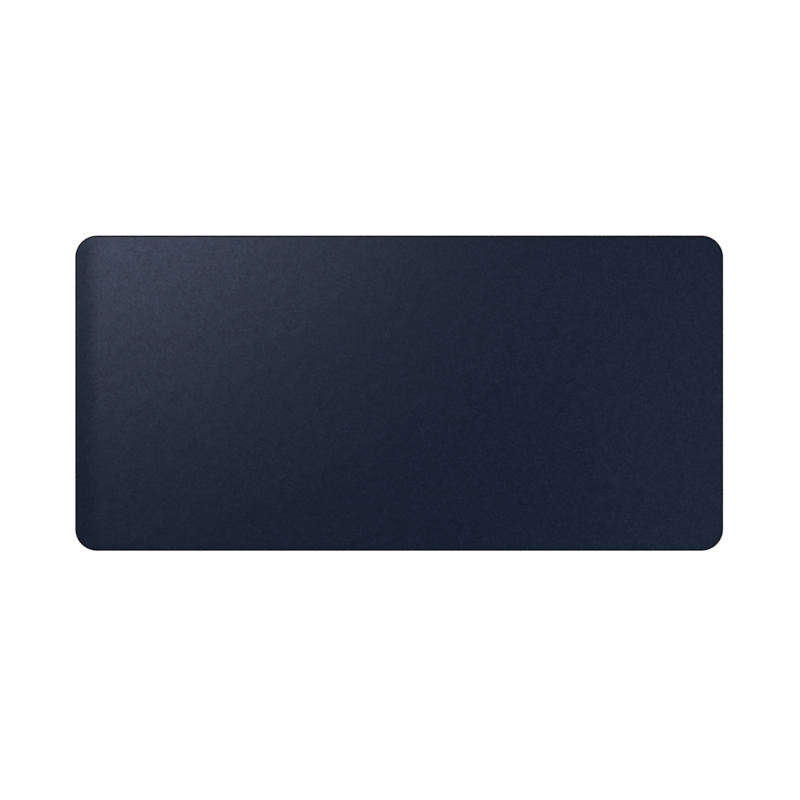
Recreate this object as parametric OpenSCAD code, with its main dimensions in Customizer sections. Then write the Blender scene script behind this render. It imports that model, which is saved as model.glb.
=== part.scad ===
// Desk mat: a thin rounded rectangle, made as a bonded stack of sheets with a coated edge.
// Millimetres. +X runs along the long side to the right, +Y away from the user, +Z up.
// The origin is the centre of the underside, on the desk.

/* [Mat] */
// Width of the mat, left to right
mat_w = 889; // [500:1:1200]
// Depth of the mat, front to back
mat_d = 433; // [250:1:600]
// Radius of the four corners
corner_r = 30; // [10:1:80]

/* [Sheets] */
// Thickness of the grained top skin
skin_t = 0.3; // [0.25:0.05:0.6]
// Thickness of the knitted cloth that carries the skin
cloth_t = 0.4; // [0.2:0.1:0.8]
// Thickness of each of the two glue films
glue_t = 0.1; // [0.05:0.05:0.2]
// Thickness of the bonded-fibre core
core_t = 0.6; // [0.4:0.1:2]
// Thickness of the suede base
base_t = 0.5; // [0.3:0.1:1]

/* [Edge] */
// Thickness of the black coat outside the cut edge of the sheets
coat_t = 0.3; // [0.15:0.05:0.6]
// Width of the pressed rim on top, from the mat's outside, which the coat fills
rim_w = 2.5; // [1:0.1:4]
// Depth that the rim is pressed into the skin
rim_press = 0.15; // [0.05:0.05:0.2]
// Height of the coat's lower edge above the desk
coat_lift = 0.1; // [0.05:0.05:0.3]

/* [Hidden] */
$fn = 96;

// Undersides of the sheets, counted up from the desk
lower_glue_z = base_t;
core_z = lower_glue_z + glue_t;
upper_glue_z = core_z + core_t;
cloth_z = upper_glue_z + glue_t;
skin_z = cloth_z + cloth_t;
top_z = skin_z + skin_t;
rim_z = top_z - rim_press;

// How far a cutting body runs past the faces that it cuts
past = 1;

// The mat's outline, drawn in from its outside by inset
module outline(inset) {
    w = mat_w - 2 * inset;
    d = mat_d - 2 * inset;
    r = corner_r - inset;
    square([w - 2 * r, d], center = true);
    square([w, d - 2 * r], center = true);
    for (x = [-1, 1], y = [-1, 1])
        translate([x * (w / 2 - r), y * (d / 2 - r)])
            circle(r);
}

// A plate of that outline from low_z to high_z
module plate(inset, low_z, high_z) {
    translate([0, 0, low_z])
        linear_extrude(high_z - low_z)
            outline(inset);
}

// Polyurethane skin with the leather grain, stepped down all round where the rim is pressed
module top_skin() {
    color("#1c2637") {
        plate(coat_t, skin_z, rim_z);
        plate(rim_w, skin_z, top_z);
    }
}

// Knitted cloth under the skin
module skin_cloth() {
    color("#2a303c")
        plate(coat_t, cloth_z, skin_z);
}

// Glue film between the cloth and the core
module upper_glue_film() {
    color("#d8d2c0")
        plate(coat_t, upper_glue_z, cloth_z);
}

// Bonded-fibre sheet that gives the mat its body and keeps it flat
module core_sheet() {
    color("#8a6a4c")
        plate(coat_t, core_z, upper_glue_z);
}

// Glue film between the core and the base
module lower_glue_film() {
    color("#d8d2c0")
        plate(coat_t, lower_glue_z, core_z);
}

// Non-slip suede sheet that lies on the desk
module suede_base() {
    color("#26282d")
        plate(coat_t, 0, lower_glue_z);
}

// Black coat that seals the cut edge and fills the pressed rim flush with the skin
module edge_coat() {
    color("#07080a")
        difference() {
            plate(0, coat_lift, top_z);
            plate(coat_t, -past, rim_z);
            plate(rim_w, -past, top_z + past);
        }
}

top_skin();
skin_cloth();
upper_glue_film();
core_sheet();
lower_glue_film();
suede_base();
edge_coat();
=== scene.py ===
"""Looks for the desk mat: its bonded sheets and edge coat, their materials, the floor, the lights and the
camera. Metres, in the frame of the CAD: +X right, +Y away from the user, +Z up, the desk at z = 0."""

import math

import bpy
import numpy as np
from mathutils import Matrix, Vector


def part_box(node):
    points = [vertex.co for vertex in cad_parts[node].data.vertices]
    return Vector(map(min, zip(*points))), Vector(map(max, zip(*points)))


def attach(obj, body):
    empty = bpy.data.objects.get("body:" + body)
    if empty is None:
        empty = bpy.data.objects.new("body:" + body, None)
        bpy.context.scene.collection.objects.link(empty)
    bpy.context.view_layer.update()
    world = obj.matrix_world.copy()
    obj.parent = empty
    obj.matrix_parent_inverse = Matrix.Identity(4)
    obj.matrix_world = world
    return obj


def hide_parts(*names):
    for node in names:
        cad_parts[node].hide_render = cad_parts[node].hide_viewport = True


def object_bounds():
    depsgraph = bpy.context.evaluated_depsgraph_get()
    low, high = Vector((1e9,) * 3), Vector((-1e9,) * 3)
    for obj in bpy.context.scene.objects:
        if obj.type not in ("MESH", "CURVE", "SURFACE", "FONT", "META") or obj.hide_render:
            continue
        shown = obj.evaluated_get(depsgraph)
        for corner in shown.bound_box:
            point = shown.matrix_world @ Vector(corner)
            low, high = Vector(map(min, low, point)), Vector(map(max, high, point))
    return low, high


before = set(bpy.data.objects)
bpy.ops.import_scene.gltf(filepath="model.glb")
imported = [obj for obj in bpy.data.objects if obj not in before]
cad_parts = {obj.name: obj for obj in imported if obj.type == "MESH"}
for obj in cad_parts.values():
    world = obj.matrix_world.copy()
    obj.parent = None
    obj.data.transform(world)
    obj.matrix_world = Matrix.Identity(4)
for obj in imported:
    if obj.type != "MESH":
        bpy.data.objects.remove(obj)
cad_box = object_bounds()

# Sizes and places

MM = 0.001
HIGH = cad_box[1]
HALF_W = HIGH.x
HALF_D = HIGH.y
CORNER_R = 30 * MM
TOP_Z = HIGH.z
RIM_W = 2.5 * MM
RIM_PRESS = 0.15 * MM
SHEET_INSET = HALF_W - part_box("top_skin")[1].x

# Rectangle whose corners are the centres of the mat's rounded corners
REACH_X = HALF_W - CORNER_R
REACH_Y = HALF_D - CORNER_R

# Spacing of the mesh on the faces that show, on the sheets inside and along the edge coat
SHOWN_STEP = 4 * MM
INNER_STEP = 8 * MM
COAT_STEP = 2.5 * MM
COAT_CORNER_STEPS = 24

# Edges that turn by more than this many degrees are shaded sharp
SHARP_ANGLE = 40

# How the mat lies: its left end still lifts a little from having been rolled. It bends between two distances
# from that end, up to this slope. The rest has a low swell
CURL_START = 38 * MM
CURL_END = 11 * MM
CURL_SLOPE = 0.125
WAVE_LENGTH = 240 * MM
WAVE_HEIGHT = 0.12 * MM

# Relief of the skin: print-through of the cloth and the core, as long swells with finer ones on them
RELIEF_LENGTH = 26 * MM
RELIEF_HEIGHT = 0.035 * MM
FINE_SHARE = 0.4

# How unevenly the edge coat's inner edge is laid on
COAT_WANDER = 0.09 * MM
COAT_WANDER_LENGTH = 9 * MM

SEED = 7


# How the mat lies

def waves(x, y, length, seed, count=9):
    """Smooth random relief of about -1 to 1 whose waves are near that length."""
    draw = np.random.default_rng(seed)
    total = np.zeros_like(x)
    for _ in range(count):
        turn = draw.uniform(0, 2 * math.pi)
        pitch = 2 * math.pi / (length * draw.uniform(0.7, 1.5))
        start = draw.uniform(0, 2 * math.pi)
        total += np.sin(pitch * (x * math.cos(turn) + y * math.sin(turn)) + start)
    return np.clip(total / math.sqrt(count * 2), -1, 1)


def smooth_step(t):
    """0 below t = 0, 1 above t = 1, and a smooth rise between."""
    t = np.clip(t, 0, 1)
    return t * t * (3 - 2 * t)


def lie(x, y):
    """Height of the whole mat off the desk, never below it."""
    from_end = x + HALF_W
    bend = CURL_START - CURL_END
    share = np.clip((CURL_START - from_end) / bend, 0, 1)
    straight = np.clip(CURL_END - from_end, 0, None)
    curl = CURL_SLOPE * (bend * (share**3 - share**4 / 2) + straight)
    swell = WAVE_HEIGHT * (1 + waves(x, y, WAVE_LENGTH, SEED)) / 2
    return curl + swell


def relief(x, y):
    """Fine unevenness of the skin's face."""
    coarse = waves(x, y, RELIEF_LENGTH, SEED + 1, 14)
    fine = waves(x, y, RELIEF_LENGTH / 2, SEED + 2, 14)
    return RELIEF_HEIGHT * (coarse + FINE_SHARE * fine)


# Meshes

def way_round(step, corner_steps):
    """Points that go round the mat: each has a foot, on the rectangle of corner centres, and an outward
    direction, and lies at foot + direction * (CORNER_R - inset). Also the feet's places along X and Y."""
    across = np.linspace(-REACH_X, REACH_X, round(2 * REACH_X / step) + 1)
    along = np.linspace(-REACH_Y, REACH_Y, round(2 * REACH_Y / step) + 1)
    sides = [
        [(REACH_X, y) for y in along[:-1]],
        [(x, REACH_Y) for x in across[:0:-1]],
        [(-REACH_X, y) for y in along[:0:-1]],
        [(x, -REACH_Y) for x in across[:-1]],
    ]
    corners = [(REACH_X, REACH_Y), (-REACH_X, REACH_Y), (-REACH_X, -REACH_Y), (REACH_X, -REACH_Y)]
    feet, angles = [], []
    for quarter in range(4):
        side, corner = sides[quarter], corners[quarter]
        feet += side + [corner] * corner_steps
        angles += [quarter * math.pi / 2] * len(side)
        angles += [(quarter + k / corner_steps) * math.pi / 2 for k in range(corner_steps)]
    outward = np.column_stack([np.cos(angles), np.sin(angles)])
    return np.array(feet), outward, across, along


def strip_faces(lower, upper):
    """Faces between two rings of point numbers, with triangles where one ring's points meet."""
    faces = []
    count = len(lower)
    for k in range(count):
        after = (k + 1) % count
        corners = [lower[k], lower[after], upper[after], upper[k]]
        faces.append(list(dict.fromkeys(corners)))
    return faces


def make_object(name, points, faces):
    """A shown mesh of those points and faces, smooth but for its sharp edges."""
    mesh = bpy.data.meshes.new(name)
    mesh.from_pydata(points.tolist(), [], faces)
    mesh.validate()
    mesh.shade_smooth()
    mesh.set_sharp_from_angle(angle=math.radians(SHARP_ANGLE))
    piece = bpy.data.objects.new(name, mesh)
    bpy.context.scene.collection.objects.link(piece)
    return piece


def make_sheet(name, step, profile, shape):
    """A closed sheet. profile lists the (inset, height) of each ring from the middle of the underside, out
    round the edge and in to the middle of the top. shape gives the height of each point as the mat lies."""
    feet, outward, across, along = way_round(step, round(CORNER_R * math.pi / 2 / step) + 2)
    grid_x, grid_y = np.meshgrid(across, along)
    grid = np.column_stack([grid_x.ravel(), grid_y.ravel()])
    columns = len(across)
    column = np.rint((feet[:, 0] + REACH_X) / (across[1] - across[0])).astype(int)
    row = np.rint((feet[:, 1] + REACH_Y) / (along[1] - along[0])).astype(int)
    grid_edge = row * columns + column
    levels = [np.column_stack([grid, np.full(len(grid), profile[0][1])])]
    rings = [grid_edge]
    start = len(grid)
    for inset, height in profile:
        ring = feet + outward * (CORNER_R - inset)
        levels.append(np.column_stack([ring, np.full(len(ring), height)]))
        rings.append(np.arange(start, start + len(ring)))
        start += len(ring)
    levels.append(np.column_stack([grid, np.full(len(grid), profile[-1][1])]))
    rings.append(grid_edge + start)
    faces = []
    for below, above in zip(rings, rings[1:]):
        faces += strip_faces(below.tolist(), above.tolist())
    for j in range(len(along) - 1):
        for i in range(columns - 1):
            a = j * columns + i
            square = [a, a + 1, a + columns + 1, a + columns]
            faces.append(square[::-1])
            faces.append([start + k for k in square])
    points = np.vstack(levels)
    points[:, 2] = shape(points)
    return make_object(name, points, faces)


def flat_profile(low, high, insets):
    """Rings of a plain sheet that goes from low to high, at those insets from its edge inwards."""
    under = [(inset, low) for inset in reversed(insets)]
    over = [(inset, high) for inset in insets]
    return under + over


def lying(points):
    """Heights of a plain sheet's points as the mat lies."""
    return points[:, 2] + lie(points[:, 0], points[:, 1])


def make_plain_sheet(name, node, step, insets):
    """The piece for a CAD sheet with a plain edge."""
    low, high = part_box(node)
    return make_sheet(name, step, flat_profile(low.z, high.z, insets), lying)


def make_skin(name):
    """The grained skin: its rim is pressed down, and its face rolls over into the rim. The numbers are in
    millimetres: insets from the mat's outside, and drops below the face."""
    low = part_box("top_skin")[0].z
    under = [26, 20, 14, 8, 3]
    over = [(1.2, 0.15), (2.3, 0.15), (2.45, 0.06), (2.65, 0.025), (3.1, 0.012), (3.9, 0.004)]
    inner = [5, 7.5, 10.5, 14, 18, 22, 26]
    profile = [(inset * MM, low) for inset in under]
    profile += [(SHEET_INSET, low), (SHEET_INSET, TOP_Z - RIM_PRESS)]
    profile += [(inset * MM, TOP_Z - drop * MM) for inset, drop in over]
    profile += [(inset * MM, TOP_Z) for inset in inner]

    def shape(points):
        x, y, z = points.T
        on_face = smooth_step((z - low) / (TOP_Z - low))
        return z + lie(x, y) + relief(x, y) * on_face

    return make_sheet(name, SHOWN_STEP, profile, shape)


def make_coat(name):
    """The edge coat: a bead round the cut edge that laps over the pressed rim, its inner edge a bit uneven.
    The numbers are in millimetres: inset from the mat's outside and height of each point round the bead."""
    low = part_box("edge_coat")[0].z / MM
    rim = (TOP_Z - RIM_PRESS) / MM
    top = TOP_Z / MM
    side = SHEET_INSET / MM
    profile = [
        (side, low), (0.16, low), (0.05, low + 0.09), (0, low + 0.3), (-0.03, 0.9), (-0.02, 1.4),
        (0.02, top - 0.28), (0.1, top - 0.12), (0.22, top - 0.03), (0.4, top + 0.015), (0.9, top + 0.03),
        (1.5, top + 0.032), (2.1, top + 0.025), (2.42, top + 0.012), (2.54, top - 0.012),
        (2.4, rim + 0.01), (2.2, rim), (side, rim), (side, 1.2), (side, 0.6),
    ]
    feet, outward, _, _ = way_round(COAT_STEP, COAT_CORNER_STEPS)
    levels, rings = [], []
    for inset, height in profile:
        place = feet + outward * (CORNER_R - inset * MM)
        uneven = waves(place[:, 0], place[:, 1], COAT_WANDER_LENGTH, SEED + 3, 12) * COAT_WANDER
        uneven *= max(0.0, inset / (RIM_W / MM)) ** 2
        place = place + outward * uneven[:, None]
        z = height * MM + lie(place[:, 0], place[:, 1])
        rings.append(range(len(levels) * len(feet), (len(levels) + 1) * len(feet)))
        levels.append(np.column_stack([place, z]))
    faces = []
    for below, above in zip(rings, rings[1:] + rings[:1]):
        faces += strip_faces(list(below), list(above))
    return make_object(name, np.vstack(levels), faces)


# Materials: the darkest and the lightest colour of each, and the sizes of the leather's grain and the knit

# The skin's darker colour is also its painted shade in the creases
SKIN_TONE_AND_CREASE_SHADE = ((0.0014, 0.0040, 0.0097), (0.0035, 0.0093, 0.0222))
COAT_COLOURS = ((0.0005, 0.0008, 0.003), (0.0012, 0.0016, 0.0046))
SUEDE_COLOURS = ((0.011, 0.0125, 0.0165), (0.031, 0.034, 0.041))
CLOTH_COLOURS = ((0.013, 0.019, 0.031), (0.034, 0.045, 0.066))
GLUE_COLOURS = ((0.55, 0.5, 0.39), (0.74, 0.7, 0.59))
CORE_COLOURS = ((0.13, 0.075, 0.036), (0.36, 0.23, 0.13))
FLOOR_COLOURS = ((0.21, 0.21, 0.21), (0.23, 0.23, 0.23))
PEBBLE_SIZE = 2.6 * MM
FOLD_SIZE = 8 * MM
PORE_SIZE = 0.35 * MM
GRAIN_DEPTH = 0.029 * MM
CLOTH_ROW = 1.2 * MM
CLOTH_LOOP = 1.0 * MM
# The bands of a wave texture of scale 1 are this far apart
WAVE_BAND = math.pi / 10


def add(tree, kind, inputs=None, **settings):
    """Adds a node. inputs gives each named or numbered socket a value or another node's output."""
    node = tree.nodes.new(kind)
    for name, value in settings.items():
        setattr(node, name, value)
    for key, value in (inputs or {}).items():
        if isinstance(value, bpy.types.NodeSocket):
            tree.links.new(value, node.inputs[key])
        else:
            node.inputs[key].default_value = value
    return node


def sums(tree, operation, first, second=0.0, third=0.0):
    """The output of a math node."""
    return add(tree, "ShaderNodeMath", {0: first, 1: second, 2: third}, operation=operation).outputs[0]


def spread(tree, value, low, high, to_low=0.0, to_high=1.0):
    """value taken from low..high to to_low..to_high, and held at the ends."""
    inputs = {"Value": value, "From Min": low, "From Max": high, "To Min": to_low, "To Max": to_high}
    return add(tree, "ShaderNodeMapRange", inputs, interpolation_type="SMOOTHSTEP").outputs[0]


def noise(tree, where, size, detail=2.0, rough=0.5):
    """Cloudy noise whose blobs are about that size."""
    inputs = {"Vector": where, "Scale": 1 / size, "Detail": detail, "Roughness": rough}
    return add(tree, "ShaderNodeTexNoise", inputs)


def between(tree, share, first, second):
    """The colour that lies at share between two colours. They are the mix node's sockets 6 and 7."""
    inputs = {"Factor": share, 6: (*first, 1), 7: (*second, 1)}
    return add(tree, "ShaderNodeMix", inputs, data_type="RGBA").outputs[2]


def start_material(name, **sockets):
    """A new material's tree, its shader and the place of each point in the frame."""
    material = bpy.data.materials.new(name)
    material.use_nodes = True
    tree = material.node_tree
    shader = tree.nodes["Principled BSDF"]
    for socket, value in sockets.items():
        shader.inputs[socket.replace("_", " ")].default_value = value
    where = add(tree, "ShaderNodeTexCoord").outputs["Object"]
    return material, tree, shader, where


def bump(tree, shader, height, depth):
    """Gives the shader a bump whose height runs from 0 to 1 over that depth."""
    inputs = {"Height": height, "Distance": depth, "Strength": 1.0}
    node = add(tree, "ShaderNodeBump", inputs)
    tree.links.new(node.outputs[0], shader.inputs["Normal"])


def skin_material():
    """Navy polyurethane leather: fine pebbles with creases between them, satin, a little cloudy, its colour
    painted darker in the creases as shade.
    """
    material, tree, shader, where = start_material("navy_grained_leather", Specular_IOR_Level=0.25)
    sway = noise(tree, where, 5 * MM, 2).outputs["Color"]
    centred = add(tree, "ShaderNodeVectorMath", {0: sway, 1: (0.5, 0.5, 0.5)}, operation="SUBTRACT")
    inputs = {0: centred.outputs[0], "Scale": 2 * MM}
    moved = add(tree, "ShaderNodeVectorMath", inputs, operation="SCALE")
    bent = add(tree, "ShaderNodeVectorMath", {0: where, 1: moved.outputs[0]}, operation="ADD").outputs[0]
    cell = {"Vector": bent, "Scale": 1 / PEBBLE_SIZE, "Randomness": 0.9}
    edge = add(tree, "ShaderNodeTexVoronoi", cell, feature="DISTANCE_TO_EDGE").outputs["Distance"]
    tint = add(tree, "ShaderNodeTexVoronoi", cell, feature="F1").outputs["Color"]
    own = add(tree, "ShaderNodeSeparateXYZ", {0: tint}).outputs[0]
    crease = spread(tree, edge, 0.0, 0.22)
    fold = {"Vector": bent, "Scale": 1 / FOLD_SIZE, "Randomness": 1.0}
    far_edge = add(tree, "ShaderNodeTexVoronoi", fold, feature="DISTANCE_TO_EDGE").outputs["Distance"]
    masked = spread(tree, noise(tree, where, 11 * MM, 2).outputs[0], 0.48, 0.62, 1.0, 0.0)
    wrinkle = sums(tree, "MAXIMUM", spread(tree, far_edge, 0.02, 0.12), masked)
    pores = noise(tree, where, PORE_SIZE, 2).outputs[0]
    cloud = spread(tree, noise(tree, where, 20 * MM, 4, 0.6).outputs[0], 0.3, 0.7)
    depth = spread(tree, noise(tree, where, 14 * MM, 2).outputs[0], 0.35, 0.65, 0.65, 1.0)
    pebbles = sums(tree, "MULTIPLY", sums(tree, "MULTIPLY", crease, wrinkle), depth)
    height = sums(tree, "MULTIPLY_ADD", pores, 0.12, pebbles)
    clouded = sums(tree, "MULTIPLY_ADD", cloud, 0.1, sums(tree, "MULTIPLY", own, 0.45))
    # Painted shade: the skin's colour is darker where pebbles is low, in the creases between the pebbles and
    # along the folds. own adds random tone per pebble, and cloud adds random cloudiness. The same mix sets
    # the specular level, which is lower in the creases.
    shade = sums(tree, "MULTIPLY_ADD", pebbles, 0.45, clouded)
    colour = between(tree, shade, *SKIN_TONE_AND_CREASE_SHADE)
    tree.links.new(colour, shader.inputs["Base Color"])
    tree.links.new(spread(tree, shade, 0.0, 1.0, 0.22, 0.29), shader.inputs["Specular IOR Level"])
    tree.links.new(spread(tree, height, 0.0, 1.1, 0.345, 0.295), shader.inputs["Roughness"])
    bump(tree, shader, height, GRAIN_DEPTH)
    return material


def coat_material():
    """Black edge paint: smooth, brushed on along the edge, its tone and roughness rippled a little."""
    material, tree, shader, where = start_material("black_edge_paint", Specular_IOR_Level=0.04)
    ripple = noise(tree, where, 2.2 * MM, 3).outputs[0]
    specks = noise(tree, where, 0.3 * MM, 2).outputs[0]
    height = sums(tree, "MULTIPLY_ADD", specks, 0.25, ripple)
    colour = between(tree, spread(tree, ripple, 0.35, 0.7), *COAT_COLOURS)
    tree.links.new(colour, shader.inputs["Base Color"])
    tree.links.new(spread(tree, height, 0.3, 0.9, 0.62, 0.48), shader.inputs["Roughness"])
    bump(tree, shader, height, 0.04 * MM)
    return material


def suede_material():
    """Charcoal microfibre suede: short nap, brushed in patches."""
    material, tree, shader, where = start_material(
        "charcoal_suede", Specular_IOR_Level=0.15, Sheen_Weight=0.35, Sheen_Roughness=0.45
    )
    patches = spread(tree, noise(tree, where, 38 * MM, 3, 0.55).outputs[0], 0.35, 0.65)
    stretched = add(tree, "ShaderNodeMapping", {"Vector": where, "Scale": (1.0, 0.22, 1.0)}).outputs[0]
    fibres = noise(tree, stretched, 0.35 * MM, 3, 0.65).outputs[0]
    shade = sums(tree, "MULTIPLY_ADD", fibres, 0.6, sums(tree, "MULTIPLY", patches, 0.4))
    colour = between(tree, shade, *SUEDE_COLOURS)
    tree.links.new(colour, shader.inputs["Base Color"])
    tree.links.new(spread(tree, fibres, 0.2, 0.8, 0.95, 0.8), shader.inputs["Roughness"])
    bump(tree, shader, fibres, 0.12 * MM)
    return material


def cloth_material():
    """Fine knitted cloth: rows of loops, about a millimetre apart."""
    material, tree, shader, where = start_material("knitted_backing", Specular_IOR_Level=0.2)
    wave = {"Vector": where, "Scale": WAVE_BAND / CLOTH_ROW, "Distortion": 1.2}
    rows = add(tree, "ShaderNodeTexWave", wave)
    turned = add(tree, "ShaderNodeMapping", {"Vector": where, "Rotation": (0, 0, math.pi / 2)}).outputs[0]
    wave = {"Vector": turned, "Scale": WAVE_BAND / CLOTH_LOOP, "Distortion": 1.6}
    loops = add(tree, "ShaderNodeTexWave", wave)
    weave = sums(tree, "MULTIPLY", rows.outputs[1], loops.outputs[1])
    lint = noise(tree, where, 2 * MM, 3).outputs[0]
    shade = sums(tree, "MULTIPLY_ADD", lint, 0.3, sums(tree, "MULTIPLY", weave, 0.7))
    colour = between(tree, shade, *CLOTH_COLOURS)
    tree.links.new(colour, shader.inputs["Base Color"])
    tree.links.new(spread(tree, weave, 0, 1, 0.95, 0.8), shader.inputs["Roughness"])
    bump(tree, shader, weave, 0.1 * MM)
    return material


def glue_material():
    """Dull hot-melt film with the print of its melted web."""
    material, tree, shader, where = start_material("glue_film", Specular_IOR_Level=0.4)
    cell = {"Vector": where, "Scale": 1 / (3 * MM)}
    web = add(tree, "ShaderNodeTexVoronoi", cell, feature="DISTANCE_TO_EDGE").outputs["Distance"]
    strands = spread(tree, web, 0.02, 0.2, 1.0, 0.0)
    haze = noise(tree, where, 12 * MM, 3).outputs[0]
    shade = sums(tree, "MULTIPLY_ADD", strands, 0.5, sums(tree, "MULTIPLY", haze, 0.5))
    colour = between(tree, shade, *GLUE_COLOURS)
    tree.links.new(colour, shader.inputs["Base Color"])
    tree.links.new(spread(tree, haze, 0.3, 0.7, 0.5, 0.7), shader.inputs["Roughness"])
    bump(tree, shader, strands, 0.03 * MM)
    return material


def core_material():
    """Bonded fibre: brown, matt and speckled with short fibres."""
    material, tree, shader, where = start_material("bonded_fibre", Specular_IOR_Level=0.2)
    stretched = add(tree, "ShaderNodeMapping", {"Vector": where, "Scale": (0.3, 1.0, 1.0)}).outputs[0]
    fibres = noise(tree, stretched, 0.6 * MM, 4, 0.7).outputs[0]
    flecks = spread(tree, noise(tree, where, 1.6 * MM, 2).outputs[0], 0.55, 0.7)
    shade = sums(tree, "SUBTRACT", fibres, sums(tree, "MULTIPLY", flecks, 0.3))
    colour = between(tree, shade, *CORE_COLOURS)
    tree.links.new(colour, shader.inputs["Base Color"])
    tree.links.new(spread(tree, fibres, 0.2, 0.8, 0.95, 0.75), shader.inputs["Roughness"])
    bump(tree, shader, fibres, 0.08 * MM)
    return material


# The stage

# Width of the desk that the picture takes in at the mat's top, and the camera's place over it
VIEW_WIDTH = 1.0978
CAMERA_LENS = 100
SENSOR = 36
CAMERA_OFFSET = (0.9 * MM, -9.4 * MM)

# The floor reaches this far each way, lies this far under the mat, and is lit mostly from within to stay even
FLOOR_REACH = 30.0
FLOOR_DROP = 0.02 * MM
FLOOR_GLOW = 0.88

# Four suns, one from each corner's side, and two softboxes. Angles are in degrees
SUN_HEIGHT = 45
SUN_SPREAD = 20
SUN_ENERGY = 0.69
SOFTBOX_PLACE = (-0.95, 1.03, 2.6)
SOFTBOX_AIM = (-0.25, 0.1, 0)
SOFTBOX_POWER = 58.5
RIGHT_PLACE = (0.97, -0.15, 1.7)
RIGHT_AIM = (0.2, 0, 0)
RIGHT_POWER = 5.7

# The surroundings' brightness changes between two heights, where 0 is the horizon and 1 is overhead
WORLD_HEIGHTS = (0.5, 0.85)
WORLD_LEVELS = (0.14, 0.02)


def make_camera():
    """Straight above the mat, far off, as the product was shot."""
    data = bpy.data.cameras.new("camera")
    data.lens = CAMERA_LENS
    data.sensor_width = SENSOR
    camera = bpy.data.objects.new("camera", data)
    camera.location = (*CAMERA_OFFSET, TOP_Z + VIEW_WIDTH * CAMERA_LENS / SENSOR)
    bpy.context.scene.collection.objects.link(camera)
    bpy.context.scene.camera = camera


def make_floor():
    """A pale, matt floor just under the mat."""
    mesh = bpy.data.meshes.new("floor")
    far = FLOOR_REACH
    corners = [(-far, -far, 0), (far, -far, 0), (far, far, 0), (-far, far, 0)]
    mesh.from_pydata(corners, [], [(0, 1, 2, 3)])
    floor = bpy.data.objects.new("floor", mesh)
    floor.location.z = -FLOOR_DROP
    bpy.context.scene.collection.objects.link(floor)
    sockets = {"Specular_IOR_Level": 0.1, "Roughness": 0.9}
    material, tree, shader, where = start_material("pale_floor", **sockets)
    cloud = noise(tree, where, 0.5, 2).outputs[0]
    colour = between(tree, cloud, *FLOOR_COLOURS)
    tree.links.new(colour, shader.inputs["Base Color"])
    shader.inputs["Emission Color"].default_value = (1, 1, 1, 1)
    shader.inputs["Emission Strength"].default_value = FLOOR_GLOW
    material.cycles.emission_sampling = "NONE"
    mesh.materials.append(material)


def make_light(name, kind, place, aim, power, **settings):
    """A lamp at a place, turned to what it aims at. The camera doesn't see it."""
    data = bpy.data.lights.new(name, kind)
    data.energy = power
    for key, value in settings.items():
        setattr(data, key, value)
    lamp = bpy.data.objects.new(name, data)
    lamp.location = place
    lamp.rotation_euler = (Vector(aim) - Vector(place)).to_track_quat("-Z", "Y").to_euler()
    lamp.visible_camera = False
    bpy.context.scene.collection.objects.link(lamp)


def make_lights():
    """Soft light from all sides, low enough to keep its glare out of the view from above, with a softbox at
    the back left and a weaker one on the right."""
    for number in range(4):
        turn = math.radians(45 + 90 * number)
        place = (math.cos(turn), math.sin(turn), math.tan(math.radians(SUN_HEIGHT)))
        make_light(f"side_{number}", "SUN", place, (0, 0, 0), SUN_ENERGY, angle=math.radians(SUN_SPREAD))
    make_light(
        "softbox", "AREA", SOFTBOX_PLACE, SOFTBOX_AIM, SOFTBOX_POWER,
        shape="RECTANGLE", size=1.2, size_y=1.5, color=(0.635, 0.735, 1.0),
    )
    make_light(
        "right_softbox", "AREA", RIGHT_PLACE, RIGHT_AIM, RIGHT_POWER,
        shape="SQUARE", size=1.2, color=(0.38, 0.575, 1.0),
    )


def make_world():
    """Dim surroundings for the mat to reflect, darker overhead, in front of a white backdrop."""
    world = bpy.data.worlds.new("studio")
    bpy.context.scene.world = world
    world.use_nodes = True
    tree = world.node_tree
    way = add(tree, "ShaderNodeTexCoord").outputs["Generated"]
    up = add(tree, "ShaderNodeSeparateXYZ", {0: way}).outputs["Z"]
    dim = spread(tree, up, *WORLD_HEIGHTS, *WORLD_LEVELS)
    seen = add(tree, "ShaderNodeLightPath").outputs["Is Camera Ray"]
    level = sums(tree, "MAXIMUM", dim, seen)
    tree.links.new(level, tree.nodes["Background"].inputs["Color"])


# The mat


def finish_piece(piece, node, material):
    """Puts a piece in the CAD node's place."""
    piece.data.materials.append(material)
    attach(piece, "root")
    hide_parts(node)


def lay_sheet(piece, node, material):
    """A sheet of the stack, cut to the mat's outline and laid on the one below."""
    finish_piece(piece, node, material)


# Insets of the rings that carry each plain sheet's mesh round the corners
INNER_INSETS = [SHEET_INSET, 2 * MM, 7 * MM, 14 * MM, 22 * MM]
BASE_INSETS = [SHEET_INSET, 0.8 * MM, 2 * MM, 5 * MM, 9 * MM, 14 * MM, 19 * MM, 25 * MM]

make_camera()

base = make_plain_sheet("suede_underside", "suede_base", SHOWN_STEP, BASE_INSETS)
lay_sheet(base, "suede_base", suede_material())
glue = glue_material()
low_film = make_plain_sheet("lower_glue", "lower_glue_film", INNER_STEP, INNER_INSETS)
lay_sheet(low_film, "lower_glue_film", glue)
core = make_plain_sheet("fibre_core", "core_sheet", INNER_STEP, INNER_INSETS)
lay_sheet(core, "core_sheet", core_material())
high_film = make_plain_sheet("upper_glue", "upper_glue_film", INNER_STEP, INNER_INSETS)
lay_sheet(high_film, "upper_glue_film", glue)
cloth = make_plain_sheet("knit_backing", "skin_cloth", INNER_STEP, INNER_INSETS)
lay_sheet(cloth, "skin_cloth", cloth_material())
skin = make_skin("grained_skin")
lay_sheet(skin, "top_skin", skin_material())
coat = make_coat("edge_paint")
finish_piece(coat, "edge_coat", coat_material())

make_floor()
make_lights()
make_world()
bpy.context.scene.view_settings.view_transform = "Standard"
